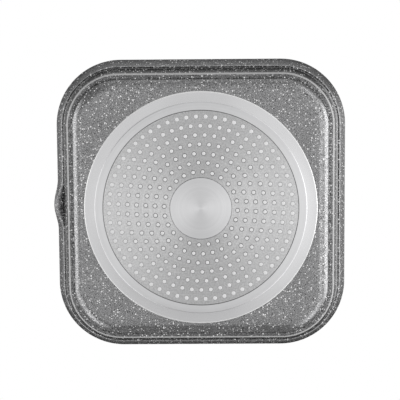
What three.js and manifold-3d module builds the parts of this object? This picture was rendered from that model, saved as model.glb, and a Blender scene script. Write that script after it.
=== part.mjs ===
// Square grill pan of the kind used with a clip-on handle, with the handle taken off.
// A cast vessel with a flared lip, a pouring spout and grill ribs stands on a turned
// aluminium sole, and a perforated steel plate for induction hobs is let into the sole.
// Millimetres, +Z up. The sole stands on z = 0 with its centre at the origin, and the spout is at -X.

import * as THREE from 'three';
import { mergeVertices } from 'three/addons/utils/BufferGeometryUtils.js';
import Module from 'manifold-3d';

const wasm = await Module();
wasm.setup();

const degrees = THREE.MathUtils.degToRad;

// Vessel, over the rim
const PAN_SIZE = 280; // across the rim, the same both ways
const PAN_HEIGHT = 46; // sole to rim
const CORNER_RADIUS = 63; // of the rim's edge, seen from above

// Foot of the vessel, stepped in under the wall
const FLOOR_THICKNESS = 4.5;
const HEEL_RADIUS = 11.5; // outside, where the floor turns up
const HEEL_DRAFT = degrees(16); // of the foot's side, above the heel's curve
const FOOT_HEIGHT = 9; // floor's underside to the crease under the step
const CREASE_RADIUS = 0.8;
const STEP_WIDTH = 4.2; // from the crease out to the wall's lower edge
const STEP_RISE = 0.8;
const STEP_RADIUS = 1.2;
const COVE_RADIUS = 8; // inside, above the heel

// Wall, with a flared lip over a narrow groove
const WALL_DRAFT = degrees(10); // of its upper part
const WALL_TUCK = degrees(28); // of its lower part, which leans in to the step
const WALL_SHARE = 0.53; // the upper part's share of the wall's height
const WALL_RADIUS = 44; // between the two parts, outside and inside
const WALL_THICKNESS = 2.8; // measured level
const BEND_RADIUS = 3; // inside, behind the groove
const GROOVE_WIDTH = 1.4;
const GROOVE_DEPTH = 0.4;
const GROOVE_RADIUS = 0.6;
const LIP_HEIGHT = 15.2; // rim's top to the lip's lower edge
const LIP_FLARE = 6.3; // the lip's lower edge lies this far in from the rim's edge
const LIP_EDGE_RADIUS = 1;
const RIM_LAND = 3.6; // flat top of the rim
const RIM_EDGE_HEIGHT = 2; // upright outer edge of the rim
const RIM_EDGE_RADIUS = 0.9;

// Pouring spout: the lip swells out along part of the -X side and dips in its middle
const SPOUT_WIDTH = 50;
const SPOUT_REACH = 3.5; // past the rim's edge
const SPOUT_DIP = 3;
const SPOUT_LAND = 2.2; // flat top of the rim at the spout's tip
const SPOUT_FLARE = 2.5; // the lip's flare at the spout's tip
const SPOUT_RISE = 1.5; // the lip's lower edge climbs this much under the tip
const CHANNEL_REACH = 1.2; // the inside swells out this much behind the groove, as a pouring channel

// Grill ribs on the inside of the floor, with a drip channel all round them
const RIB_PITCH = 15;
const RIB_WIDTH = 5;
const RIB_HEIGHT = 3.5;
const RIB_CHAMFER = 1.1;
const RIB_ROOT = 2; // sunk into the floor
const DRIP_CHANNEL = 17; // wall's foot to the ribs' ends

// Turned sole: a flat centre, a seat for the plate, a flat foot and a sloping border outside a small step
const SOLE_THICKNESS = 3;
const SOLE_MARGIN = 0.45; // from the heel's curve to the sole's edge, in the middle of each side
const BORDER_WIDTH = 10.5;
const FOOT_WIDTH = 7.5; // from the border to the plate
const CENTRE_DIAMETER = 58;
const FOOT_STEP = 0.5;
const BORDER_RISE = 0.7;
const SOLE_CHAMFER = 0.7;

// Perforated steel plate between the centre and the foot, with its holes in rings
const PLATE_THICKNESS = 0.6;
const PLATE_SETBACK = 0.2; // the plate stays this far above the foot
const PLATE_CLEARANCE = 0.3; // to the sole, all round
const HOLE_DIAMETER = 4.4;
const HOLE_PITCH = 8.67; // about the distance from ring to ring, and along a ring
const HOLE_MARGIN = 3.4; // metal between the plate's edges and the nearest holes
const HOLE_START = degrees(3.4); // where each ring has its first hole

// Fineness of the facets
const ARC_TOLERANCE = 0.2; // a facet may stand this far off its arc in the rim's profile
const CORNER_STEPS = 5; // the outline's corners have twice as many facets
const SPOUT_STEPS = 12;
const RIB_END_STEPS = 3;
const SOLE_SEGMENTS = 72;
const CENTRE_SEGMENTS = 36;
const HOLE_SIDES = 6;

// Heights and insets that several pieces share
const floorTop = SOLE_THICKNESS + FLOOR_THICKNESS;
const plateSeat = PLATE_SETBACK + PLATE_THICKNESS;
const lipEdge = { inset: LIP_FLARE, z: PAN_HEIGHT - LIP_HEIGHT };
const groove = { inset: lipEdge.inset + GROOVE_WIDTH, z: lipEdge.z + GROOVE_DEPTH };
const creaseZ = SOLE_THICKNESS + FOOT_HEIGHT;
const stepZ = creaseZ + STEP_RISE;
const belly = {
  inset: groove.inset + (groove.z - stepZ) * WALL_SHARE * Math.tan(WALL_DRAFT),
  z: groove.z - (groove.z - stepZ) * WALL_SHARE,
};
const step = { inset: belly.inset + (belly.z - stepZ) * Math.tan(WALL_TUCK), z: stepZ };
const crease = { inset: step.inset + STEP_WIDTH, z: creaseZ };
const heel = { inset: crease.inset + FOOT_HEIGHT * Math.tan(HEEL_DRAFT), z: SOLE_THICKNESS };
const heelRun = HEEL_RADIUS * Math.tan((Math.PI / 2 - HEEL_DRAFT) / 2); // of its curve along the floor
const bend = { inset: groove.inset + WALL_THICKNESS, z: groove.z };
const innerBelly = { inset: belly.inset + WALL_THICKNESS, z: belly.z };
const innerCrease = crease.inset + WALL_THICKNESS;
const wallLean = (innerCrease - innerBelly.inset) / (innerBelly.z - creaseZ); // of the inside, low down
const wallFoot = innerCrease + (creaseZ - floorTop) * wallLean;
const cornerCentre = PAN_SIZE / 2 - CORNER_RADIUS; // the corners of all loops share their centres
const soleRadius = PAN_SIZE / 2 - heel.inset - heelRun - SOLE_MARGIN;
const footRadius = soleRadius - BORDER_WIDTH;
const plateRadius = footRadius - FOOT_WIDTH;

function solidOf(geometry) {
  const bare = geometry.clone();
  bare.deleteAttribute('normal');
  bare.deleteAttribute('uv');
  const merged = mergeVertices(bare);
  const index = merged.getIndex().array;
  const triangles = [];
  for (let i = 0; i < index.length; i += 3) {
    const [a, b, c] = index.subarray(i, i + 3);
    if (a !== b && b !== c && c !== a) triangles.push(a, b, c);
  }
  return new wasm.Manifold(new wasm.Mesh({
    numProp: 3,
    vertProperties: new Float32Array(merged.getAttribute('position').array),
    triVerts: new Uint32Array(triangles),
  }));
}

function geometryOf(solid) {
  const mesh = solid.getMesh();
  const geometry = new THREE.BufferGeometry();
  geometry.setAttribute('position', new THREE.BufferAttribute(mesh.vertProperties, 3));
  geometry.setIndex(new THREE.BufferAttribute(mesh.triVerts, 1));
  geometry.computeVertexNormals();
  return geometry;
}

// Points along a profile with its corners rounded by arcs; each keeps its corner's spout values
function roundedProfile(corners) {
  const at = corners.map(({ inset, z }) => new THREE.Vector2(inset, z));
  const lengths = at.slice(1).map((point, i) => point.distanceTo(at[i]));
  const opening = (i) => at[i - 1].clone().sub(at[i]).angleTo(at[i + 1].clone().sub(at[i]));
  const wanted = corners.map(({ radius }, i) => (radius ? radius / Math.tan(opening(i) / 2) : 0));
  const share = lengths.map((length, i) => Math.min(1, (0.98 * length) / (wanted[i] + wanted[i + 1])));
  const points = [];
  for (let i = 1; i < corners.length - 1; i += 1) {
    const before = at[i - 1].clone().sub(at[i]);
    const after = at[i + 1].clone().sub(at[i]);
    const reach = wanted[i] * Math.min(share[i - 1], share[i]);
    const radius = reach * Math.tan(opening(i) / 2);
    const turn = -Math.sign(before.cross(after));
    const start = before.clone().setLength(reach).add(at[i]);
    const toCentre = before.clone().setLength(radius).rotateAround(new THREE.Vector2(), -turn * Math.PI / 2);
    const centre = start.clone().add(toCentre);
    const sweep = Math.PI - opening(i);
    const facet = 2 * Math.acos(1 - Math.min(ARC_TOLERANCE / radius, 1));
    const steps = Math.max(1, Math.ceil(sweep / facet));
    for (let k = 0; k <= steps; k += 1) {
      const point = start.clone().rotateAround(centre, turn * sweep * k / steps);
      points.push({ inset: point.x, z: point.y, bulge: corners[i].bulge ?? 0, dip: corners[i].dip ?? 0 });
    }
  }
  return points;
}

// The spout's swell along the -X side: 1 in its middle and 0 at its ends
function swell(y) {
  return Math.abs(y) < SPOUT_WIDTH / 2 ? (1 + Math.cos(2 * Math.PI * y / SPOUT_WIDTH)) / 2 : 0;
}

// Level loop around the pan, a rounded square that lies inset from the rim's edge
function panLoop({ inset, z, bulge, dip }) {
  const half = PAN_SIZE / 2 - inset;
  const radius = CORNER_RADIUS - inset;
  const path = new THREE.Path();
  path.absarc(cornerCentre, cornerCentre, radius, 0, Math.PI / 2);
  path.absarc(-cornerCentre, cornerCentre, radius, Math.PI / 2, Math.PI);
  for (let i = 0; i <= SPOUT_STEPS; i += 1) {
    const y = SPOUT_WIDTH * (0.5 - i / SPOUT_STEPS);
    path.lineTo(-half - bulge * swell(y), y);
  }
  path.absarc(-cornerCentre, -cornerCentre, radius, Math.PI, 1.5 * Math.PI);
  path.absarc(cornerCentre, -cornerCentre, radius, 1.5 * Math.PI, 2 * Math.PI);
  return path.getPoints(CORNER_STEPS).map((point) => {
    const fall = point.x < 0 ? dip * swell(point.y) : 0;
    return new THREE.Vector3(point.x, point.y, z - fall);
  });
}

// Closed skin through a row of loops with equal point counts, with a flat cap on the first and the last
function loft(loops) {
  const count = loops[0].length;
  const positions = loops.flat().flatMap((point) => point.toArray());
  const faces = [];
  for (let j = 0; j < loops.length - 1; j += 1) {
    for (let i = 0; i < count; i += 1) {
      const next = (i + 1) % count;
      const [a, b] = [j * count + i, j * count + next];
      const [c, d] = [a + count, b + count];
      faces.push(a, b, d, a, d, c);
    }
  }
  const last = (loops.length - 1) * count;
  for (const [a, b, c] of THREE.ShapeUtils.triangulateShape(loops[0], [])) faces.push(a, c, b);
  for (const [a, b, c] of THREE.ShapeUtils.triangulateShape(loops.at(-1), [])) {
    faces.push(last + a, last + b, last + c);
  }
  const geometry = new THREE.BufferGeometry();
  geometry.setAttribute('position', new THREE.Float32BufferAttribute(positions, 3));
  geometry.setIndex(faces);
  return geometry;
}

// The vessel's section, from the middle of its underside out over the rim to the middle of its inside
function vesselProfile() {
  const rimSpout = { bulge: SPOUT_REACH, dip: SPOUT_DIP };
  return roundedProfile([
    { inset: PAN_SIZE / 2, z: SOLE_THICKNESS },
    { ...heel, radius: HEEL_RADIUS },
    { ...crease, radius: CREASE_RADIUS },
    { ...step, radius: STEP_RADIUS },
    { ...belly, radius: WALL_RADIUS },
    { ...groove, radius: GROOVE_RADIUS },
    {
      ...lipEdge,
      radius: LIP_EDGE_RADIUS,
      bulge: SPOUT_REACH + LIP_FLARE - SPOUT_FLARE,
      dip: -SPOUT_RISE,
    },
    { inset: 0, z: PAN_HEIGHT - RIM_EDGE_HEIGHT, radius: RIM_EDGE_RADIUS, ...rimSpout },
    { inset: 0, z: PAN_HEIGHT, radius: RIM_EDGE_RADIUS, ...rimSpout },
    {
      inset: RIM_LAND,
      z: PAN_HEIGHT,
      radius: RIM_EDGE_RADIUS,
      bulge: SPOUT_REACH + RIM_LAND - SPOUT_LAND,
      dip: SPOUT_DIP,
    },
    { ...bend, radius: BEND_RADIUS, bulge: CHANNEL_REACH },
    { ...innerBelly, radius: WALL_RADIUS },
    { inset: wallFoot, z: floorTop, radius: COVE_RADIUS },
    { inset: PAN_SIZE / 2, z: floorTop },
  ]);
}

// Parallel ribs along Y whose ends follow a rounded square inside the drip channel
function grillRibs() {
  const fieldInset = wallFoot + DRIP_CHANNEL;
  const half = PAN_SIZE / 2 - fieldInset;
  const radius = CORNER_RADIUS - fieldInset;
  const count = 1 + Math.floor((2 * half - RIB_WIDTH) / RIB_PITCH);
  const ribs = [];
  for (let i = 0; i < count; i += 1) {
    const x = (i - (count - 1) / 2) * RIB_PITCH;
    const past = Math.max(0, Math.abs(x) + RIB_WIDTH / 2 - cornerCentre);
    const end = cornerCentre + Math.sqrt(Math.max(0, radius ** 2 - past ** 2)) - RIB_WIDTH / 2;
    const outline = new THREE.Shape();
    outline.absarc(x, end, RIB_WIDTH / 2, 0, Math.PI);
    outline.absarc(x, -end, RIB_WIDTH / 2, Math.PI, 2 * Math.PI);
    const rib = new THREE.ExtrudeGeometry(outline, {
      depth: RIB_HEIGHT + RIB_ROOT - 2 * RIB_CHAMFER,
      bevelSize: RIB_CHAMFER,
      bevelOffset: -RIB_CHAMFER,
      bevelThickness: RIB_CHAMFER,
      bevelSegments: 1,
      curveSegments: RIB_END_STEPS,
    });
    ribs.push(rib.translate(0, 0, floorTop - RIB_ROOT + RIB_CHAMFER));
  }
  return ribs;
}

function panBody() {
  const shell = solidOf(loft(vesselProfile().map(panLoop)));
  return geometryOf(grillRibs().reduce((body, rib) => body.add(solidOf(rib)), shell));
}

function baseDisc() {
  const seat = plateRadius + PLATE_CLEARANCE;
  const centre = CENTRE_DIAMETER / 2;
  const borderEnd = FOOT_STEP + BORDER_RISE;
  const section = [
    [0, 0],
    [centre, 0],
    [centre, plateSeat],
    [seat, plateSeat],
    [seat, 0],
    [footRadius, 0],
    [footRadius + FOOT_STEP, FOOT_STEP],
    [soleRadius - SOLE_CHAMFER, borderEnd],
    [soleRadius, borderEnd + SOLE_CHAMFER],
    [soleRadius, SOLE_THICKNESS],
    [0, SOLE_THICKNESS],
  ].map(([radius, z]) => new THREE.Vector2(radius, z));
  return geometryOf(solidOf(new THREE.LatheGeometry(section, SOLE_SEGMENTS).rotateX(Math.PI / 2)));
}

// Regular polygon as a closed path, with a corner at the given angle
function polygonPath(path, x, y, radius, sides, turn) {
  for (let i = 0; i < sides; i += 1) {
    const angle = turn + (2 * Math.PI * i) / sides;
    const [px, py] = [x + radius * Math.cos(angle), y + radius * Math.sin(angle)];
    if (i === 0) path.moveTo(px, py);
    else path.lineTo(px, py);
  }
  path.closePath();
  return path;
}

function inductionPlate() {
  const bore = CENTRE_DIAMETER / 2 + PLATE_CLEARANCE;
  const boreCorners = bore / Math.cos(Math.PI / CENTRE_SEGMENTS);
  const outline = polygonPath(new THREE.Shape(), 0, 0, plateRadius, SOLE_SEGMENTS, 0);
  outline.holes.push(polygonPath(new THREE.Path(), 0, 0, boreCorners, CENTRE_SEGMENTS, 0));
  const innermost = CENTRE_DIAMETER / 2 + HOLE_MARGIN + HOLE_DIAMETER / 2;
  const outermost = plateRadius - HOLE_MARGIN - HOLE_DIAMETER / 2;
  const gaps = Math.max(1, Math.round((outermost - innermost) / HOLE_PITCH));
  for (let ring = 0; ring <= gaps; ring += 1) {
    const radius = THREE.MathUtils.lerp(innermost, outermost, ring / gaps);
    const count = Math.round((6 * radius) / HOLE_PITCH);
    for (let i = 0; i < count; i += 1) {
      const angle = HOLE_START + (2 * Math.PI * i) / count;
      const x = radius * Math.cos(angle);
      const y = radius * Math.sin(angle);
      outline.holes.push(polygonPath(new THREE.Path(), x, y, HOLE_DIAMETER / 2, HOLE_SIDES, angle));
    }
  }
  const sheet = new THREE.ExtrudeGeometry(outline, { depth: PLATE_THICKNESS, bevelEnabled: false });
  return geometryOf(solidOf(sheet.translate(0, 0, PLATE_SETBACK)));
}

function part(name, geometry, material) {
  const mesh = new THREE.Mesh(geometry, new THREE.MeshStandardMaterial(material));
  mesh.name = name;
  return mesh;
}

const pan = new THREE.Group();
pan.add(
  part('pan_body', panBody(), { color: 0x55565a, roughness: 0.42, metalness: 0.1 }),
  part('base_disc', baseDisc(), { color: 0xc9c9cb, roughness: 0.35, metalness: 1 }),
  part('induction_plate', inductionPlate(), { color: 0xa6a6a8, roughness: 0.4, metalness: 1 }),
);

export default pan;
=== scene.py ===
from math import ceil, cos, floor, pi, radians, sin, sqrt, tan

import bmesh
import bpy
from bmesh.types import BMEdge, BMVert
from bpy.props import FloatProperty, FloatVectorProperty, IntProperty, PointerProperty
from bpy.types import Operator, Panel, PropertyGroup
from mathutils import Matrix, Vector


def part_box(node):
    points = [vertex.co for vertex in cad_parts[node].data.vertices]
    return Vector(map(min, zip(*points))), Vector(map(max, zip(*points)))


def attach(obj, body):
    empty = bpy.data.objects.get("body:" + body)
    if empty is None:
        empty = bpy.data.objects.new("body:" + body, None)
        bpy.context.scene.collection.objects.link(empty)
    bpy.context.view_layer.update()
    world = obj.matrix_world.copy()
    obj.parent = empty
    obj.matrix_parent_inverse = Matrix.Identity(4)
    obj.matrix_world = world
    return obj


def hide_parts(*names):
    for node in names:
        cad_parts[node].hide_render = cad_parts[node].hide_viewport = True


bl_info = {
    "name": "Square Grill Pan",
    "version": (1, 0, 0),
    "blender": (4, 5, 0),
    "location": "3D View > Sidebar > Grill Pan",
    "description": "Builds a square cast grill pan with a turned sole and a perforated induction plate",
    "category": "Add Mesh",
}

# The frame: metres, +Z up, the sole's foot on z = 0 with its centre at the origin, the spout at -X
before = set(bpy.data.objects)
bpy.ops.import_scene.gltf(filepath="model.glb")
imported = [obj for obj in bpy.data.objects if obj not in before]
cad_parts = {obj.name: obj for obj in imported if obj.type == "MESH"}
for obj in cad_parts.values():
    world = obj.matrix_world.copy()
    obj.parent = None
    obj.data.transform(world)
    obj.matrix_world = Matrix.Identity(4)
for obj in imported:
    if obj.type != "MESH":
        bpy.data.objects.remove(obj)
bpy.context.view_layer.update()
PAN_LOW, PAN_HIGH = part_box("pan_body")
SOLE_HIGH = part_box("base_disc")[1]
PLATE_LOW, PLATE_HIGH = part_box("induction_plate")
PAN_SPAN = PAN_HIGH.y - PAN_LOW.y

# Rounded corners of a section: largest turn of a facet, fewest facets, share of a straight that they may take
FACET_TURN = radians(9)
LEAST_FACETS = 3
STRAIGHT_SHARE = 0.98

# Points nearer than this are one
WELD = 1e-6

FULL_TURN = 2 * pi


def length(name, description, default):
    """A property for a length in metres."""
    return FloatProperty(
        name=name, description=description, default=default, subtype="DISTANCE", unit="LENGTH"
    )


def angle(name, description, default):
    """A property for an angle, given in degrees."""
    return FloatProperty(
        name=name, description=description, default=radians(default), subtype="ANGLE", unit="ROTATION"
    )


def fraction(name, description, default):
    """A property for a share, from 0 to 1."""
    return FloatProperty(name=name, description=description, default=default, subtype="FACTOR", min=0, max=1)


def number(name, description, default):
    """A property for a number of facets."""
    return IntProperty(name=name, description=description, default=default, min=1)


def colour(name, description, default):
    """A property for a colour."""
    return FloatVectorProperty(
        name=name, description=description, default=default, subtype="COLOR", size=3, min=0, max=1
    )


class VesselSettings(PropertyGroup):
    """Sizes of the cast vessel; insets are level distances in from the rim's outer edge."""

    pan_size: length("Pan size", "Across the rim, the same both ways", PAN_SPAN)
    pan_height: length("Pan height", "From the sole's foot to the rim's top", PAN_HIGH.z)
    corner_radius: length("Corner radius", "Of the rim's edge, seen from above", 0.063)
    floor_low: length("Floor underside", "Height of the floor's underside, on the sole", SOLE_HIGH.z)
    floor_thickness: length("Floor thickness", "Of the cast floor", 0.0045)
    floor_border: length("Floor border", "Width of the border that keeps the floor's shading flat", 0.001)
    heel_radius: length("Heel radius", "Outside, where the floor turns up", 0.0115)
    heel_draft: angle("Heel draft", "Lean of the foot's side above the heel's curve", 16)
    foot_height: length("Foot height", "From the floor's underside to the crease under the step", 0.009)
    crease_radius: length("Crease radius", "In the crease under the step", 0.0008)
    step_width: length("Step width", "From the crease out to the wall's lower edge", 0.0042)
    step_rise: length("Step rise", "From the crease up to the wall's lower edge", 0.0008)
    step_radius: length("Step radius", "Of the wall's lower edge", 0.0012)
    # Where the painted highlight along the step is palest up the wall, and where it ends in under the step
    highlight_above: fraction("Worn above", "How far up the wall's lower part it is worn palest", 0.11)
    highlight_below: fraction("Worn below", "How far in under the step its pale edge ends", 0.18)
    cove_radius: length("Cove radius", "Inside, where the floor turns up into the wall", 0.008)
    wall_draft: angle("Wall draft", "Lean of the wall's upper part against the upright", 10)
    wall_tuck: angle("Wall tuck", "Lean of the wall's lower part, in to the step", 28)
    wall_share: fraction("Wall share", "The upper part's share of the wall's height", 0.53)
    wall_radius: length("Wall radius", "Between the wall's two parts, outside and inside", 0.044)
    wall_thickness: length("Wall thickness", "Measured level", 0.0028)
    bend_radius: length("Bend radius", "Inside, behind the groove", 0.003)
    groove_width: length("Groove width", "Of the narrow groove under the lip", 0.0014)
    groove_depth: length("Groove depth", "Of the narrow groove under the lip", 0.0004)
    groove_radius: length("Groove radius", "In the groove's bottom", 0.0006)
    lip_height: length("Lip height", "From the rim's top down to the lip's lower edge", 0.0152)
    lip_flare: length("Lip flare", "Inset of the lip's lower edge", 0.0063)
    lip_edge_radius: length("Lip edge radius", "Of the lip's lower edge", 0.001)
    rim_land: length("Rim land", "Width of the rim's flat top", 0.0036)
    rim_edge_height: length("Rim edge height", "Of the rim's upright outer edge", 0.002)
    rim_edge_radius: length("Rim edge radius", "Of the rim's edges", 0.0009)
    spout_width: length("Spout width", "Along the rim", 0.05)
    spout_reach: length("Spout reach", "Past the rim's edge", PAN_HIGH.x - PAN_LOW.x - PAN_SPAN)
    spout_dip: length("Spout dip", "Of the rim's top in the middle of the spout", 0.003)
    spout_land: length("Spout land", "Width of the rim's flat top at the spout's tip", 0.0022)
    spout_flare: length("Spout flare", "The lip's flare at the spout's tip", 0.0025)
    spout_rise: length("Spout rise", "Climb of the lip's lower edge under the spout's tip", 0.0015)
    channel_reach: length("Channel reach", "Swell of the inside behind the groove, into the spout", 0.0012)
    corner_steps: number("Corner steps", "Facets in each corner of the rim", 32)
    spout_steps: number("Spout steps", "Facets along the spout", 40)


class RibSettings(PropertyGroup):
    """Sizes of the grill ribs on the floor."""

    pitch: length("Rib pitch", "From one rib to the next", 0.015)
    width: length("Rib width", "At the top of the foot's curve", 0.005)
    height: length("Rib height", "Above the floor", 0.0035)
    foot_radius: length("Foot radius", "Of the curve between floor and rib", 0.0014)
    crown_radius: length("Crown radius", "Of the rib's upper edges", 0.0011)
    side_slope: angle("Side slope", "Of the rib's sides, up from the floor", 80)
    drip_channel: length("Drip channel", "From the wall's foot to the ribs' ends", 0.017)
    sunk: length("Sunk", "Depth of the ribs' outlines under the floor's top", 0.00005)
    # Painted shade in the curve along the ribs' feet: how dark, and where it sets in
    foot_shade: fraction("Foot fill", "How dark the coating gathers in the foot's curve", 0.9)
    shade_start: fraction("Fill start", "Share of the foot's curve over which that sets in", 0.1)
    end_steps: number("End steps", "Facets round a rib's two ends", 24)
    curve_steps: number("Curve steps", "Facets in the foot's curve and in the crown's", 6)


class SoleSettings(PropertyGroup):
    """Sizes of the turned sole and of the plate that is let into it."""

    sole_radius: length("Sole radius", "Of the turned sole", SOLE_HIGH.x)
    sole_thickness: length("Sole thickness", "From the foot to the vessel's floor", SOLE_HIGH.z)
    border_width: length("Border width", "Of the sloping border outside the foot", 0.0105)
    border_rise: length("Border rise", "Of the border, from the step to its edge", 0.0007)
    border_blend: length("Border blend", "Run outside the foot over which the finish turns smoother", 0.001)
    foot_step: length("Foot step", "Height of the step between foot and border", 0.0005)
    sole_chamfer: length("Sole chamfer", "At the sole's edge", 0.0007)
    # The chamfer's painted highlight fades in over this run
    bright_fade: length("Bright fade", "Run before the chamfer over which it turns bright", 0.00035)
    edge_radius: length("Edge radius", "Of the turned edges", 0.00022)
    centre_radius: length("Centre radius", "Of the flat round centre", 0.029)
    cap_radius: length("Cap radius", "Of the small caps in the middle of the sole's two faces", 0.002)
    plate_radius: length("Plate radius", "Of the steel plate", PLATE_HIGH.x)
    plate_low: length("Plate underside", "Height of the plate above the foot", PLATE_LOW.z)
    plate_thickness: length("Plate thickness", "Of the steel plate", PLATE_HIGH.z - PLATE_LOW.z)
    plate_clearance: length("Plate clearance", "Between plate and sole, all round", 0.0003)
    # The painted shade round the plate fades out over this run
    seam_fade: length("Seam fade", "Run outside the plate over which the dark seam fades", 0.00033)
    hole_radius: length("Hole radius", "Of the plate's holes", 0.0022)
    hole_chamfer: length("Hole chamfer", "At the plate's holes", 0.00015)
    hole_margin: length("Hole margin", "Metal between the plate's edges and the nearest holes", 0.0034)
    hole_pitch: length("Hole pitch", "About the distance from ring to ring, and along a ring", 0.00867)
    hole_start: angle("Hole start", "Where each ring has its first hole", 3.4)
    stud_play: length("Stud play", "Between stud and hole, at the plate's bore", 0.00043)
    stud_play_outer: length("Outer stud play", "Between stud and hole, at the plate's edge", 0.0001)
    stud_setback: length("Stud setback", "Height of the studs' faces above the foot", 0.00012)
    stud_crown: length("Stud crown", "Rise of a stud's middle over its edge", 0.00008)
    stud_edge: length("Stud edge", "Width of the steeper slope at a stud's edge", 0.00035)
    stud_slope: length("Stud slope", "Width of the flatter slope inside it", 0.0007)
    stud_edge_share: fraction("Stud edge share", "The steeper slope's share of the crown", 0.7)
    hole_steps: number("Hole steps", "Facets round a hole and a stud", 16)
    turns: number("Turned steps", "Facets round the sole and the plate", 192)


class FinishSettings(PropertyGroup):
    """Colours of the finishes, with the painted highlights and painted shade among them."""

    coat: colour("Coat", "Ground of the stone coating", (0.32, 0.32, 0.324))
    coat_pale: colour("Pale flecks", "Of the stone coating", (1.0, 1.0, 1.0))
    coat_dark: colour("Dark flecks", "Of the stone coating", (0.03, 0.03, 0.031))
    # Painted highlight along the step and on the lip's lower edge
    coat_painted_highlight: colour("Worn edge", "Of the stone coating along the step", (0.6, 0.6, 0.6))
    aluminium: colour("Aluminium", "Of the turned sole", (0.82, 0.82, 0.83))
    # Painted highlight on the sole's chamfered edge
    rim: colour("Rim", "Of the turned sole's chamfered edge", (1.0, 1.0, 1.0))
    # Painted shade in the sole's seat, seen in the gaps round the plate and its studs
    seam: colour("Seam", "Of the sole's seat, in the gaps round the plate and its studs", (0.03, 0.03, 0.03))
    stud: colour("Studs", "Of the studs in the plate's holes", (0.96, 0.96, 0.965))
    steel: colour("Steel", "Of the induction plate", (0.7, 0.7, 0.705))
    floor: colour("Floor", "Of the stage", (0.86, 0.86, 0.86))


class GrillPanSettings(PropertyGroup):
    """All sizes and colours of the grill pan."""

    vessel: PointerProperty(type=VesselSettings)
    ribs: PointerProperty(type=RibSettings)
    sole: PointerProperty(type=SoleSettings)
    finish: PointerProperty(type=FinishSettings)


def wire(bm, corners, place):
    """Open wire through the corners, each rounded by a vertex bevel, as its edges.

    A corner is (across, up, radius, reach, dip, edge); the last three stay with its points as layers.
    """
    layers = [bm.verts.layers.float.new(name) for name in ("reach", "dip", "edge")]
    verts = []
    for across, up, _, *values in corners:
        vert = bm.verts.new(place(across, up))
        for layer, value in zip(layers, values):
            vert[layer] = value
        verts.append(vert)
    for first, second in zip(verts, verts[1:]):
        bm.edges.new((first, second))

    # A rounding takes a run of the straights beside it, less where two roundings would meet
    places = [Vector(corner[:2]) for corner in corners]
    spans = [(after - before).length for before, after in zip(places, places[1:])]
    openings = {
        i: (places[i - 1] - places[i]).angle(places[i + 1] - places[i]) for i in range(1, len(corners) - 1)
    }
    runs = [corners[i][2] / tan(openings[i] / 2) if i in openings else 0 for i in range(len(corners))]
    shares = [
        min(1, STRAIGHT_SHARE * span / max(runs[i] + runs[i + 1], WELD)) for i, span in enumerate(spans)
    ]
    for i, opening in openings.items():
        run = runs[i] * min(shares[i - 1], shares[i])
        if not run:
            continue
        bmesh.ops.bevel(
            bm,
            geom=[verts[i]],
            offset=run,
            offset_type="ABSOLUTE",
            affect="VERTICES",
            segments=max(LEAST_FACETS, ceil((pi - opening) / FACET_TURN)),
            profile=0.5,
            material=-1,
            clamp_overlap=False,
        )
    return bm.edges[:]


def ends_of(edges):
    """The vertices of some edges."""
    return list(dict.fromkeys(vert for edge in edges for vert in edge.verts))


def open_edges(bm):
    """The edges that have a face on one side only."""
    return [edge for edge in bm.edges if edge.is_boundary]


def drawn(bm, edges, vector):
    """Extrudes the edges along a vector and gives the new ones."""
    made = bmesh.ops.extrude_edge_only(bm, edges=edges)["geom"]
    verts = {item for item in made if isinstance(item, BMVert)}
    bmesh.ops.translate(bm, verts=list(verts), vec=vector)
    return [item for item in made if isinstance(item, BMEdge) and set(item.verts) <= verts]


def turned(bm, edges, centre, sweep, steps):
    """Spins the edges about an upright axis and gives the last ones."""
    made = bmesh.ops.spin(
        bm,
        geom=ends_of(edges) + edges,
        cent=centre,
        axis=(0, 0, 1),
        angle=sweep,
        steps=steps,
        use_merge=sweep == FULL_TURN,
        use_duplicate=False,
    )["geom_last"]
    return [item for item in made if isinstance(item, BMEdge)]


def placed(x, y, z, turn):
    """A place turned about its own upright axis."""
    return Matrix.Translation((x, y, z)) @ Matrix.Rotation(turn, 4, "Z")


def piece(bm, name, material, slot, *replaced):
    """Makes the mesh an object of the model, riding on the root body."""
    bmesh.ops.recalc_face_normals(bm, faces=bm.faces[:])
    for face in bm.faces:
        face.smooth = True
    mesh = bpy.data.meshes.new(name)
    bm.to_mesh(mesh)
    bm.free()
    mesh.materials.append(material)
    made = bpy.data.objects.new(name, mesh)
    bpy.context.scene.collection.objects.link(made)
    if replaced:
        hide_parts(*replaced)
    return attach(made, "root")


def keep_crisp(obj, degrees):
    """Edges that turn more than this stay crisp under smooth shading."""
    obj.data.set_sharp_from_angle(angle=radians(degrees))


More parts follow.
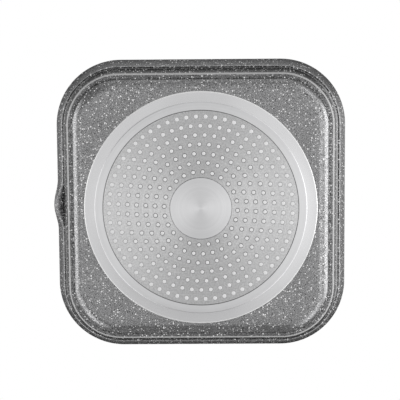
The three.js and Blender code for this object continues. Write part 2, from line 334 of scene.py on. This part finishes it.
class VesselSection:
    """Insets and heights of the vessel's section that its pieces share."""

    # Flat run of the floor beyond its curves, in their radii
    FLAT_RUN = 1.6

    def __init__(self, s):
        self.floor_top = s.floor_low + s.floor_thickness
        self.lip = (s.lip_flare, s.pan_height - s.lip_height)
        self.groove = (s.lip_flare + s.groove_width, self.lip[1] + s.groove_depth)
        crease_up = s.floor_low + s.foot_height
        step_up = crease_up + s.step_rise
        wall = self.groove[1] - step_up
        upper = wall * s.wall_share
        self.belly = (self.groove[0] + upper * tan(s.wall_draft), self.groove[1] - upper)
        self.step = (self.belly[0] + (wall - upper) * tan(s.wall_tuck), step_up)
        self.crease = (self.step[0] + s.step_width, crease_up)
        self.over_step = Vector(self.step).lerp(self.belly, s.highlight_above)
        self.under_step = Vector(self.step).lerp(self.crease, s.highlight_below)
        self.heel = self.crease[0] + s.foot_height * tan(s.heel_draft)
        self.bend = (self.groove[0] + s.wall_thickness, self.groove[1])
        self.inner_belly = (self.belly[0] + s.wall_thickness, self.belly[1])
        inner_crease = self.crease[0] + s.wall_thickness
        lean = (inner_crease - self.inner_belly[0]) / (self.inner_belly[1] - crease_up)
        self.wall_foot = inner_crease + (crease_up - self.floor_top) * lean
        self.corner_centre = s.pan_size / 2 - s.corner_radius

    def corners(self, s):
        """From the floor's underside out over the rim to the floor's top, as wire() takes them.

        The last value is up to 1 on edges with a painted highlight and down to -1 in corners with painted
        shade.
        """
        top = s.pan_height
        rim = (s.spout_reach, s.spout_dip)
        lip_reach = s.spout_reach + s.lip_flare - s.spout_flare
        land_reach = s.spout_reach + s.rim_land - s.spout_land
        return [
            (self.heel + self.FLAT_RUN * s.heel_radius, s.floor_low, 0, 0, 0, 0),
            (self.heel, s.floor_low, s.heel_radius, 0, 0, 0),
            (*self.crease, s.crease_radius, 0, 0, -0.4),
            (*self.under_step, 0, 0, 0, -0.3),
            (*self.step, s.step_radius, 0, 0, 0.8),
            (*self.over_step, 0, 0, 0, 1),
            (*self.belly, s.wall_radius, 0, 0, 0),
            (*self.groove, s.groove_radius, 0, 0, -1),
            (*self.lip, s.lip_edge_radius, lip_reach, -s.spout_rise, 0.1),
            (0, top - s.rim_edge_height, s.rim_edge_radius, *rim, 0),
            (0, top, s.rim_edge_radius, *rim, 0),
            (s.rim_land, top, s.rim_edge_radius, land_reach, s.spout_dip, 0),
            (*self.bend, s.bend_radius, s.channel_reach, 0, 0),
            (*self.inner_belly, s.wall_radius, 0, 0, 0),
            (self.wall_foot, self.floor_top, s.cove_radius, 0, 0, 0),
            (self.wall_foot + self.FLAT_RUN * s.cove_radius, self.floor_top, 0, 0, 0, 0),
        ]


class GRILLPAN_OT_vessel(Operator):
    """Spins and extrudes the section round the pan, fills its floor and draws out the spout"""

    bl_idname = "grill_pan.vessel"
    bl_label = "Cast Vessel"

    def execute(self, context):
        s = context.scene.grill_pan.vessel
        section = VesselSection(s)
        c = section.corner_centre
        half = s.pan_size / 2
        bm = bmesh.new()
        edges = wire(bm, section.corners(s), lambda inset, z: (half - inset, c, z))

        # Round the pan: a quarter turn at each corner, and the straight sides between them
        edges = turned(bm, edges, (c, c, 0), pi / 2, s.corner_steps)
        edges = drawn(bm, edges, (-2 * c, 0, 0))
        edges = turned(bm, edges, (-c, c, 0), pi / 2, s.corner_steps)
        edges = drawn(bm, edges, (0, s.spout_width / 2 - c, 0))
        for _ in range(s.spout_steps):
            edges = drawn(bm, edges, (0, -s.spout_width / s.spout_steps, 0))
        edges = drawn(bm, edges, (0, s.spout_width / 2 - c, 0))
        edges = turned(bm, edges, (-c, -c, 0), pi / 2, s.corner_steps)
        edges = drawn(bm, edges, (2 * c, 0, 0))
        edges = turned(bm, edges, (c, -c, 0), pi / 2, s.corner_steps)
        drawn(bm, edges, (0, 2 * c, 0))
        bmesh.ops.remove_doubles(bm, verts=bm.verts[:], dist=WELD)

        # The spout's swell is 1 in its middle and 0 at its ends
        reach = bm.verts.layers.float["reach"]
        dip = bm.verts.layers.float["dip"]
        for vert in bm.verts:
            if vert.co.x < -c and abs(vert.co.y) < s.spout_width / 2:
                swell = (1 + cos(FULL_TURN * vert.co.y / s.spout_width)) / 2
                vert.co.x -= vert[reach] * swell
                vert.co.z -= vert[dip] * swell

        # Both sides of the floor, with a narrow border that keeps their shading flat
        floors = bmesh.ops.edgeloop_fill(bm, edges=open_edges(bm))["faces"]
        if len(floors) != 2:
            raise RuntimeError("the vessel's floor has not closed")
        bmesh.ops.inset_region(bm, faces=floors, thickness=s.floor_border, use_even_offset=True)
        piece(bm, "pan_shell", stone_coating(context.scene.grill_pan.finish), "stone_coating", "pan_body")
        return {"FINISHED"}


class GRILLPAN_OT_ribs(Operator):
    """Raises the grill ribs from the floor by insetting their outlines step by step"""

    bl_idname = "grill_pan.ribs"
    bl_label = "Grill Ribs"

    # A face is level when its normal points up by at least this
    LEVEL = 0.99

    def execute(self, context):
        v = context.scene.grill_pan.vessel
        s = context.scene.grill_pan.ribs
        section = VesselSection(v)
        field_inset = section.wall_foot + s.drip_channel
        field_half = v.pan_size / 2 - field_inset
        field_radius = v.corner_radius - field_inset
        count = 1 + floor((2 * field_half - s.width + WELD) / s.pitch)
        foot_half = s.width / 2 + s.foot_radius
        bm = bmesh.new()
        for i in range(count):
            x = (i - (count - 1) / 2) * s.pitch
            past = max(0, abs(x) + s.width / 2 - section.corner_centre)
            end = section.corner_centre + sqrt(max(0, field_radius**2 - past**2)) - s.width / 2
            place = placed(x, 0, section.floor_top - s.sunk, pi / s.end_steps)
            made = bmesh.ops.create_circle(
                bm, cap_ends=True, radius=foot_half, segments=s.end_steps, matrix=place
            )
            for sign in (1, -1):
                half = [vert for vert in made["verts"] if vert.co.y * sign > 0]
                bmesh.ops.translate(bm, verts=half, vec=(0, sign * end, 0))
        bm.normal_update()
        tops = bm.faces[:]
        bmesh.ops.reverse_faces(bm, faces=[face for face in tops if face.normal.z < 0])

        last_inset, last_height = 0, -s.sunk
        for inset, height in self.half_section(s):
            bmesh.ops.inset_region(
                bm,
                faces=tops,
                thickness=inset - last_inset,
                depth=height - last_height,
                use_boundary=True,
                use_even_offset=True,
            )
            last_inset, last_height = inset, height
        if any(
            face.normal.z < self.LEVEL or face.calc_center_median().z < section.floor_top for face in tops
        ):
            raise RuntimeError("the ribs have not risen from the floor")

        # Painted shade: the coating is painted dark in the curve along the ribs' feet
        edge = bm.verts.layers.float.new("edge")
        for vert in bm.verts:
            up = max(0, vert.co.z - section.floor_top) / s.foot_radius
            vert[edge] = -s.foot_shade * min(1, up / s.shade_start) * max(0, 1 - up)
        piece(bm, "grill_ribs", stone_coating(context.scene.grill_pan.finish), "stone_coating")
        return {"FINISHED"}

    def half_section(self, s):
        """Half a rib's section as (inset, height): foot's hollow curve, sloping side, crown's round edge."""
        slope = s.side_slope
        turns = [slope * k / s.curve_steps for k in range(s.curve_steps + 1)]
        points = [(s.foot_radius * sin(turn), s.foot_radius * (1 - cos(turn))) for turn in turns[1:]]
        side_inset, side_low = points[-1]
        side_high = s.height - s.crown_radius * (1 - cos(slope))
        crown_inset = side_inset + (side_high - side_low) / tan(slope)
        for turn in reversed(turns):
            inset = crown_inset + s.crown_radius * (sin(slope) - sin(turn))
            points.append((inset, s.height - s.crown_radius * (1 - cos(turn))))
        return points


class GRILLPAN_OT_sole(Operator):
    """Spins the turned sole from its section"""

    bl_idname = "grill_pan.sole"
    bl_label = "Turned Sole"

    def execute(self, context):
        s = context.scene.grill_pan.sole
        seat = s.plate_low + s.plate_thickness
        seat_end = s.plate_radius + s.plate_clearance
        foot = s.sole_radius - s.border_width
        border_end = s.foot_step + s.border_rise
        rim = s.sole_radius - s.sole_chamfer
        small = s.edge_radius

        # Corners as (radius, height, rounding, edge), the last down to -1 for painted shade in the seat and 1
        # for a painted highlight on the rim
        corners = [
            (s.cap_radius, 0, 0, 0),
            (s.centre_radius, 0, small, 0),
            (s.centre_radius, seat, small, -1),
            (seat_end, seat, small, -1),
            (seat_end, 0, small, -0.6),
            (seat_end + s.seam_fade, 0, 0, 0),
            (foot, 0, small, 0),
            (foot + s.foot_step, s.foot_step, small, 0),
            (rim - s.bright_fade, border_end, small, 0),
            (rim, border_end, small, 1),
            (s.sole_radius, border_end + s.sole_chamfer, small, 1),
            (s.sole_radius, s.sole_thickness, small, 1),
            (s.cap_radius, s.sole_thickness, 0, 0),
        ]
        bm = bmesh.new()
        outline = [(radius, up, rounding, 0, 0, edge) for radius, up, rounding, edge in corners]
        edges = wire(bm, outline, lambda radius, up: (radius, 0, up))
        turned(bm, edges, (0, 0, 0), FULL_TURN, s.turns)
        bmesh.ops.remove_doubles(bm, verts=bm.verts[:], dist=WELD)
        caps = bmesh.ops.edgeloop_fill(bm, edges=open_edges(bm))["faces"]
        if len(caps) != 2:
            raise RuntimeError("the sole's faces have not closed")
        metal = turned_aluminium(context.scene.grill_pan.finish, foot, foot + s.border_blend)
        made = piece(bm, "turned_sole", metal, "turned_aluminium", "base_disc")
        keep_crisp(made, degrees=40)
        return {"FINISHED"}


# Holes in a ring whose radius is one pitch, as round the middle of a honeycomb
HOLES_AT_PITCH = 6


def hole_places(s):
    """Centre and direction of each of the plate's holes."""
    innermost = s.centre_radius + s.hole_margin + s.hole_radius
    outermost = s.plate_radius - s.hole_margin - s.hole_radius
    gaps = max(1, round((outermost - innermost) / s.hole_pitch))
    places = []
    for ring in range(gaps + 1):
        radius = innermost + (outermost - innermost) * ring / gaps
        count = round(HOLES_AT_PITCH * radius / s.hole_pitch)
        for i in range(count):
            turn = s.hole_start + FULL_TURN * i / count
            places.append((radius * cos(turn), radius * sin(turn), turn))
    return places


class GRILLPAN_OT_plate(Operator):
    """Fills the perforated steel plate between its edges and draws its holes through"""

    bl_idname = "grill_pan.plate"
    bl_label = "Induction Plate"

    def execute(self, context):
        s = context.scene.grill_pan.sole
        bore = s.centre_radius + s.plate_clearance
        bm = bmesh.new()

        # Rings as (x, y, radius, side of the metal, facets, turn), chamfered on the underside
        rings = [(0, 0, s.plate_radius, -1, s.turns, 0), (0, 0, bore, 1, s.turns // 2, 0)]
        rings += [(x, y, s.hole_radius, 1, s.hole_steps, turn) for x, y, turn in hole_places(s)]
        under, over = [], []
        for x, y, radius, side, facets, turn in rings:
            wide = radius + side * s.hole_chamfer
            place = placed(x, y, s.plate_low, turn)
            made = bmesh.ops.create_circle(bm, radius=wide, segments=facets, matrix=place)["verts"]
            edges = list(dict.fromkeys(edge for vert in made for edge in vert.link_edges))
            under += edges
            edges = drawn(bm, edges, (0, 0, s.hole_chamfer))
            scale = (radius / wide, radius / wide, 1)
            bmesh.ops.scale(bm, verts=ends_of(edges), vec=scale, space=Matrix.Translation((-x, -y, 0)))
            over += drawn(bm, edges, (0, 0, s.plate_thickness - s.hole_chamfer))
        for edges, up in ((under, -1), (over, 1)):
            bmesh.ops.triangle_fill(bm, use_beauty=True, use_dissolve=False, edges=edges, normal=(0, 0, up))
        if open_edges(bm):
            raise RuntimeError("the plate has not closed")
        steel = induction_steel(context.scene.grill_pan.finish)
        made = piece(bm, "steel_plate", steel, "induction_steel", "induction_plate")
        keep_crisp(made, degrees=30)
        return {"FINISHED"}


class GRILLPAN_OT_studs(Operator):
    """Sets a low stud of the sole's metal in each hole of the plate"""

    bl_idname = "grill_pan.studs"
    bl_label = "Sole Studs"

    def execute(self, context):
        s = context.scene.grill_pan.sole
        face_low = s.stud_setback + s.stud_crown
        bm = bmesh.new()
        for x, y, turn in hole_places(s):
            outward = (Vector((x, y)).length - s.centre_radius) / (s.plate_radius - s.centre_radius)
            play = s.stud_play + (s.stud_play_outer - s.stud_play) * outward**2
            bmesh.ops.create_circle(
                bm,
                cap_ends=True,
                radius=s.hole_radius - play,
                segments=s.hole_steps,
                matrix=placed(x, y, face_low, turn) @ Matrix.Rotation(pi, 4, "X"),
            )

        # The faces look down; a steeper and a flatter slope crown them
        faces = bm.faces[:]
        for width, share in ((s.stud_edge, s.stud_edge_share), (s.stud_slope, 1 - s.stud_edge_share)):
            bmesh.ops.inset_individual(
                bm, faces=faces, thickness=width, depth=s.stud_crown * share, use_even_offset=True
            )
        drawn(bm, open_edges(bm), (0, 0, s.plate_low + s.plate_thickness - face_low))
        metal = coined_aluminium(context.scene.grill_pan.finish)
        made = piece(bm, "sole_studs", metal, "turned_aluminium")
        keep_crisp(made, degrees=40)
        return {"FINISHED"}


def new_material(name):
    """An empty node material with its shader and output joined."""
    material = bpy.data.materials.new(name)
    material.use_nodes = True
    tree = material.node_tree
    tree.nodes.clear()
    shader = tree.nodes.new("ShaderNodeBsdfPrincipled")
    output = tree.nodes.new("ShaderNodeOutputMaterial")
    tree.links.new(shader.outputs[0], output.inputs["Surface"])
    return material, tree, shader


def feed(tree, made, inputs):
    """Gives a node's inputs, by name or number, a value or another node's socket."""
    for key, value in inputs.items():
        if isinstance(value, bpy.types.NodeSocket):
            tree.links.new(value, made.inputs[key])
        else:
            made.inputs[key].default_value = value


def node(tree, kind, inputs=None, **settings):
    """Adds a node with its inputs and settings."""
    made = tree.nodes.new("ShaderNode" + kind)
    for key, value in settings.items():
        setattr(made, key, value)
    feed(tree, made, inputs or {})
    return made


def math(tree, operation, first, second, clamp=False):
    """One step of arithmetic between sockets or numbers."""
    return node(tree, "Math", {0: first, 1: second}, operation=operation, use_clamp=clamp).outputs[0]


def vectors(tree, operation, first, second):
    """One step of arithmetic between vectors."""
    return node(tree, "VectorMath", {0: first, 1: second}, operation=operation).outputs[0]


def ranged(tree, value, start, end, low, high, **settings):
    """A value that runs from low to high while another runs from start to end."""
    ramp = {0: value, 1: start, 2: end, 3: low, 4: high}
    return node(tree, "MapRange", ramp, **settings).outputs[0]


def spread(tree, value, low, high):
    """A value from 0 to 1 spread between two numbers."""
    return ranged(tree, value, 0.0, 1.0, low, high)


def mixed(tree, factor, first, second):
    """A colour between two others."""
    return node(tree, "Mix", {0: factor, 6: first, 7: second}, data_type="RGBA").outputs[2]


def toned(tree, tint, value):
    """A colour made darker or lighter by a value about 1."""
    return node(tree, "HueSaturation", {"Color": (*tint, 1), "Value": value}).outputs[0]


def noise(tree, coords, scale, detail):
    """Clouds as a value from 0 to 1, the scale being about their number in a metre."""
    return node(tree, "TexNoise", {"Vector": coords, "Scale": scale, "Detail": detail}).outputs["Fac"]


def bumped(tree, strength, distance, height):
    """Surface direction roughened by a height."""
    return node(tree, "Bump", {"Strength": strength, "Distance": distance, "Height": height}).outputs[0]


def object_coords(tree):
    """The piece's own coordinates in metres."""
    return node(tree, "TexCoord").outputs["Object"]


def painted_light_level(tree):
    """The mesh's own value for painted highlights on edges, above 0, and for painted shade in corners, below
    it.
    """
    return node(tree, "Attribute", attribute_name="edge").outputs["Fac"]


def flecks(tree, coords, cell, share, radius, softness):
    """Flecks as a mask: a share of the cells has one, of up to that radius and at least half of it."""
    cells = node(tree, "TexVoronoi", {"Vector": coords, "Scale": 1 / cell}, voronoi_dimensions="3D")
    chance = node(tree, "SeparateColor", {0: cells.outputs["Color"]}).outputs[0]
    bare = 1 - share
    largest = radius / cell
    size = ranged(tree, chance, bare, 1.0, 0.5 * largest, largest)
    size = math(tree, "MULTIPLY", size, math(tree, "GREATER_THAN", chance, bare))
    inside = math(tree, "SUBTRACT", size, cells.outputs["Distance"])
    return math(tree, "MULTIPLY", inside, softness / largest, clamp=True)


def ragged(tree, coords, scale, shift):
    """Coordinates shifted to and fro by a noise, which gives flecks a ragged outline."""
    waver = node(tree, "TexNoise", {"Vector": coords, "Scale": scale, "Detail": 2.0}).outputs["Color"]
    waver = vectors(tree, "SUBTRACT", waver, (0.5, 0.5, 0.5))
    bend = node(tree, "VectorMath", {0: waver, "Scale": shift}, operation="SCALE").outputs[0]
    return vectors(tree, "ADD", coords, bend)


def stone_coating(finish):
    """Sprayed coating with a grey metallic ground, pale and dark flecks and a fine grain."""
    if "stone_coating_finish" in bpy.data.materials:
        return bpy.data.materials["stone_coating_finish"]
    material, tree, shader = new_material("stone_coating_finish")
    coords = object_coords(tree)
    bent = ragged(tree, coords, scale=900.0, shift=0.0008)
    fine = flecks(tree, bent, cell=0.0013, share=0.3, radius=0.00045, softness=4.0)
    bold = flecks(tree, bent, cell=0.0019, share=0.32, radius=0.0008, softness=8.0)
    pores = flecks(tree, bent, cell=0.0015, share=0.35, radius=0.00065, softness=3.0)
    cloud = noise(tree, coords, scale=45.0, detail=3.0)
    mottle = noise(tree, coords, scale=1300.0, detail=0.0)
    grain = noise(tree, coords, scale=1500.0, detail=3.0)

    # Painted shade: corners are painted dark and matt, in patches
    edge = painted_light_level(tree)
    patch = noise(tree, coords, scale=800.0, detail=1.0)
    corner = math(tree, "MULTIPLY", edge, spread(tree, patch, -1.2, 3.6))
    bare = ranged(tree, corner, -1.0, 0.0, 0.12, 1.0)

    # Ground darkened by the painted shade, with dark pores, pale flecks, and a painted highlight on edges
    tone = math(tree, "MULTIPLY", spread(tree, cloud, 0.85, 1.15), spread(tree, mottle, -0.2, 2.2))
    tone = math(tree, "MULTIPLY", math(tree, "MAXIMUM", tone, 0.1), bare)
    tint = toned(tree, finish.coat, tone)
    tint = mixed(tree, math(tree, "MULTIPLY", pores, 0.95), tint, (*finish.coat_dark, 1))
    pale = math(tree, "MAXIMUM", math(tree, "MULTIPLY", fine, 0.85), bold)
    tint = mixed(tree, pale, tint, (*finish.coat_pale, 1))
    painted_highlight = math(tree, "MAXIMUM", edge, 0.0)
    tint = mixed(tree, painted_highlight, tint, (*finish.coat_painted_highlight, 1))

    # Flecks and the painted highlight on edges are less metallic and rougher than the ground; the painted
    # shade is rougher too
    matt = math(tree, "MAXIMUM", painted_highlight, math(tree, "MULTIPLY", pale, 0.65))
    rough = math(tree, "MULTIPLY", math(tree, "MAXIMUM", pale, painted_highlight), 0.3)
    rough = math(tree, "ADD", spread(tree, grain, 0.14, 0.28), rough)
    rough = math(tree, "ADD", rough, spread(tree, bare, 0.7, 0.0))
    height = math(tree, "ADD", math(tree, "MULTIPLY", grain, 0.6), math(tree, "MULTIPLY", bold, 0.4))
    looks = {
        "Base Color": tint,
        "Metallic": spread(tree, matt, 0.97, 0.0),
        "Roughness": rough,
        "Normal": bumped(tree, strength=0.35, distance=0.00018, height=height),
    }
    feed(tree, shader, looks)
    return material


def across_marks(tree, coords):
    """Direction straight out from the sole's axis, across the turning marks."""
    return vectors(tree, "MULTIPLY", coords, (1, 1, 0))


def from_axis(tree, coords):
    """Level distance from the sole's axis."""
    return node(tree, "VectorMath", {0: across_marks(tree, coords)}, operation="LENGTH").outputs["Value"]


def turning_marks(tree, coords, pitch, start):
    """Streaks round the axis as a value from 0 to 1 that changes with the radius alone."""
    along = {"W": math(tree, "ADD", from_axis(tree, coords), start), "Scale": 1 / pitch, "Detail": 3.0}
    return node(tree, "TexNoise", along, noise_dimensions="1D").outputs["Fac"]


def turned_aluminium(finish, foot, border):
    """Bright aluminium with the marks of the lathe, smoother from the foot's radius to the border's."""
    material, tree, shader = new_material("turned_aluminium_finish")
    coords = object_coords(tree)
    fine = turning_marks(tree, coords, pitch=0.0004, start=0.0)
    broad = turning_marks(tree, coords, pitch=0.004, start=0.3)
    cloud = noise(tree, coords, scale=30.0, detail=4.0)
    tone = math(tree, "ADD", spread(tree, fine, -0.1, 0.1), spread(tree, broad, 0.96, 1.03))
    tone = math(tree, "MULTIPLY", tone, spread(tree, cloud, 0.95, 1.05))

    # Painted highlight along the chamfered edge, painted shade in the plate's seat
    edge = painted_light_level(tree)
    rim = math(tree, "MAXIMUM", edge, 0.0)
    seam = math(tree, "MULTIPLY", math(tree, "MINIMUM", edge, 0.0), -1.0)
    tint = mixed(tree, rim, toned(tree, finish.aluminium, tone), (*finish.rim, 1))
    smoother = ranged(tree, from_axis(tree, coords), foot, border, 1.0, 0.65)
    looks = {
        "Base Color": mixed(tree, seam, tint, (*finish.seam, 1)),
        "Metallic": spread(tree, rim, 1.0, 0.3),
        "Roughness": math(tree, "MULTIPLY", spread(tree, fine, 0.3, 0.42), smoother),
        "Anisotropic": 0.65,
        "Tangent": across_marks(tree, coords),
        "Normal": bumped(tree, strength=0.15, distance=0.00005, height=fine),
    }
    feed(tree, shader, looks)
    return material


def coined_aluminium(finish):
    """Aluminium pressed up through the plate, matt and a little uneven from stud to stud."""
    material, tree, shader = new_material("coined_aluminium_finish")
    coords = object_coords(tree)
    uneven = noise(tree, coords, scale=140.0, detail=2.0)
    grain = noise(tree, coords, scale=2500.0, detail=3.0)
    looks = {
        "Base Color": toned(tree, finish.stud, spread(tree, uneven, 0.9, 1.1)),
        "Metallic": 1.0,
        "Roughness": spread(tree, grain, 0.3, 0.48),
        "Normal": bumped(tree, strength=0.2, distance=0.00006, height=grain),
    }
    feed(tree, shader, looks)
    return material


def induction_steel(finish):
    """Dull steel sheet, ground round its middle."""
    material, tree, shader = new_material("induction_steel_finish")
    coords = object_coords(tree)
    fine = turning_marks(tree, coords, pitch=0.0003, start=0.7)
    ripple = turning_marks(tree, coords, pitch=0.0011, start=0.5)
    broad = turning_marks(tree, coords, pitch=0.006, start=0.1)
    cloud = noise(tree, coords, scale=60.0, detail=4.0)
    grain = noise(tree, coords, scale=700.0, detail=2.0)
    tone = math(tree, "ADD", spread(tree, fine, -0.1, 0.1), spread(tree, broad, 0.94, 1.06))
    for marks, low, high in ((grain, 0.65, 1.35), (ripple, 0.93, 1.07), (cloud, 0.92, 1.08)):
        tone = math(tree, "MULTIPLY", tone, spread(tree, marks, low, high))
    looks = {
        "Base Color": toned(tree, finish.steel, tone),
        "Metallic": 1.0,
        "Roughness": spread(tree, cloud, 0.38, 0.48),
        "Anisotropic": 0.85,
        "Tangent": across_marks(tree, coords),
        "Normal": bumped(tree, strength=0.12, distance=0.00004, height=fine),
    }
    feed(tree, shader, looks)
    return material


def stage_floor(finish):
    """Pale matt floor that shows only its upper side."""
    material, tree, shader = new_material("stage_floor_finish")
    feed(tree, shader, {"Base Color": (*finish.floor, 1), "Roughness": 0.8})
    clear = node(tree, "BsdfTransparent").outputs[0]
    side = node(tree, "NewGeometry").outputs["Backfacing"]
    both = node(tree, "MixShader", {0: side, 1: shader.outputs[0], 2: clear}).outputs[0]
    output = next(item for item in tree.nodes if item.type == "OUTPUT_MATERIAL")
    feed(tree, output, {"Surface": both})
    return material


# The stage's floor: half its width, and its drop under the sole's foot
FLOOR_HALF = 8
FLOOR_DROP = 0.0003

# Fill light of the studio, strong up to the first height of a direction and weak from the second one up
FILL_HEIGHTS = (0.55, 0.84)
FILL_STRENGTHS = (0.33, 0.02)

# Soft glows round the stage, each as (degrees from straight below, degrees round from +X towards -Y,
# half width in degrees, strength)
GLOWS = [
    (20, 0, 25, 0.45),
    (20, 90, 25, 0.25),
    (20, 180, 25, 0.35),
    (20, 270, 25, 0.25),
    (45, 0, 28, 0.95),
    (45, 90, 28, 0.3),
    (45, 180, 28, 0.4),
    (45, 315, 28, 0.4),
    (70, 45, 30, 0.85),
    (70, 225, 30, 1.3),
    (70, 315, 30, 1.15),
    (97, 0, 36, 2.2),
    (97, 90, 36, 0.25),
    (97, 180, 36, 1.5),
    (158, 0, 26, 0.9),
    (158, 180, 26, 0.35),
]

# Lamp overhead: side and height in metres, power in watts
LAMP_SIDE = 0.7
LAMP_HEIGHT = 1.9
LAMP_POWER = 22

# Camera below the pan, looking up at its base, with the pan's -Y side at the top of the picture
CAMERA_PLACE = (0.013002, -0.128943, -1.121794)
CAMERA_RIGHT = Vector((0.999908, 0.007391, 0.011388))
CAMERA_UP = Vector((0.006128, -0.994215, 0.107233))
CAMERA_LENS = 108
CAMERA_SENSOR = 36


def lay_floor(scene):
    """Lays the stage's floor, which only the camera sees."""
    bm = bmesh.new()
    place = Matrix.Translation((0, 0, -FLOOR_DROP))
    bmesh.ops.create_grid(bm, x_segments=1, y_segments=1, size=FLOOR_HALF, matrix=place)
    mesh = bpy.data.meshes.new("stage_floor")
    bm.to_mesh(mesh)
    bm.free()
    mesh.materials.append(stage_floor(scene.grill_pan.finish))
    ground = bpy.data.objects.new("stage_floor", mesh)
    scene.collection.objects.link(ground)
    ground.visible_diffuse = ground.visible_glossy = ground.visible_transmission = False
    ground.visible_volume_scatter = ground.visible_shadow = False


def light_studio(scene):
    """Surrounds the stage with a fill light and soft glows, on a white ground for the camera."""
    world = bpy.data.worlds.new("studio")
    world.use_nodes = True
    tree = world.node_tree
    tree.nodes.clear()
    aim = node(tree, "TexCoord").outputs["Generated"]
    height = node(tree, "SeparateXYZ", {0: aim}).outputs["Z"]
    glow = ranged(tree, height, *FILL_HEIGHTS, *FILL_STRENGTHS, interpolation_type="SMOOTHSTEP")
    for down, turn, width, level in GLOWS:
        axis = (
            sin(radians(down)) * cos(radians(turn)),
            -sin(radians(down)) * sin(radians(turn)),
            -cos(radians(down)),
        )
        near = node(tree, "VectorMath", {0: aim, 1: axis}, operation="DOT_PRODUCT").outputs["Value"]
        lobe = ranged(tree, near, cos(radians(width)), 1.0, 0.0, level, interpolation_type="SMOOTHSTEP")
        glow = math(tree, "ADD", glow, lobe)
    seen = node(tree, "LightPath").outputs["Is Camera Ray"]
    strength = node(tree, "Mix", {0: seen, 2: glow, 3: 1.0}).outputs[0]
    sky = node(tree, "Background", {"Color": (1, 1, 1, 1), "Strength": strength}).outputs[0]
    node(tree, "OutputWorld", {"Surface": sky})
    scene.world = world


def hang_lamp(scene):
    """Hangs a large soft lamp overhead, which nothing mirrors."""
    data = bpy.data.lights.new("overhead", "AREA")
    data.shape = "RECTANGLE"
    data.size = data.size_y = LAMP_SIDE
    data.energy = LAMP_POWER
    lamp = bpy.data.objects.new("overhead", data)
    lamp.location = (0, 0, LAMP_HEIGHT)
    lamp.visible_camera = lamp.visible_glossy = False
    scene.collection.objects.link(lamp)


def place_camera(scene):
    """Places the camera and makes it the scene's."""
    data = bpy.data.cameras.new("camera")
    data.sensor_width = CAMERA_SENSOR
    data.lens = CAMERA_LENS
    camera = bpy.data.objects.new("camera", data)
    axes = Matrix((CAMERA_RIGHT, CAMERA_UP, CAMERA_RIGHT.cross(CAMERA_UP))).transposed()
    camera.matrix_world = Matrix.Translation(CAMERA_PLACE) @ axes.to_4x4()
    scene.collection.objects.link(camera)
    scene.camera = camera


class GRILLPAN_OT_stage(Operator):
    """Sets the floor, the lights, the surroundings and the camera"""

    bl_idname = "grill_pan.stage"
    bl_label = "Stage"

    def execute(self, context):
        scene = context.scene
        lay_floor(scene)
        light_studio(scene)
        hang_lamp(scene)
        place_camera(scene)
        scene.view_settings.view_transform = "Standard"
        return {"FINISHED"}


class VIEW3D_PT_grill_pan(Panel):
    """Lists the pan's pieces and their sizes"""

    bl_label = "Grill Pan"
    bl_space_type = "VIEW_3D"
    bl_region_type = "UI"
    bl_category = "Grill Pan"

    def draw(self, context):
        settings = context.scene.grill_pan
        for step in STEPS:
            self.layout.operator(step.bl_idname)
        for group in ("vessel", "ribs", "sole", "finish"):
            box = self.layout.box()
            box.label(text=group.title())
            for name in getattr(settings, group).__annotations__:
                box.prop(getattr(settings, group), name)


STEPS = (
    GRILLPAN_OT_vessel,
    GRILLPAN_OT_ribs,
    GRILLPAN_OT_sole,
    GRILLPAN_OT_plate,
    GRILLPAN_OT_studs,
    GRILLPAN_OT_stage,
)
CLASSES = (
    VesselSettings,
    RibSettings,
    SoleSettings,
    FinishSettings,
    GrillPanSettings,
    *STEPS,
    VIEW3D_PT_grill_pan,
)


def register():
    for item in CLASSES:
        bpy.utils.register_class(item)
    bpy.types.Scene.grill_pan = PointerProperty(type=GrillPanSettings)


def unregister():
    del bpy.types.Scene.grill_pan
    for item in reversed(CLASSES):
        bpy.utils.unregister_class(item)


def main():
    register()
    bpy.ops.grill_pan.vessel()
    bpy.ops.grill_pan.ribs()
    bpy.ops.grill_pan.sole()
    bpy.ops.grill_pan.plate()
    bpy.ops.grill_pan.studs()
    bpy.ops.grill_pan.stage()


if __name__ == "__main__":
    main()
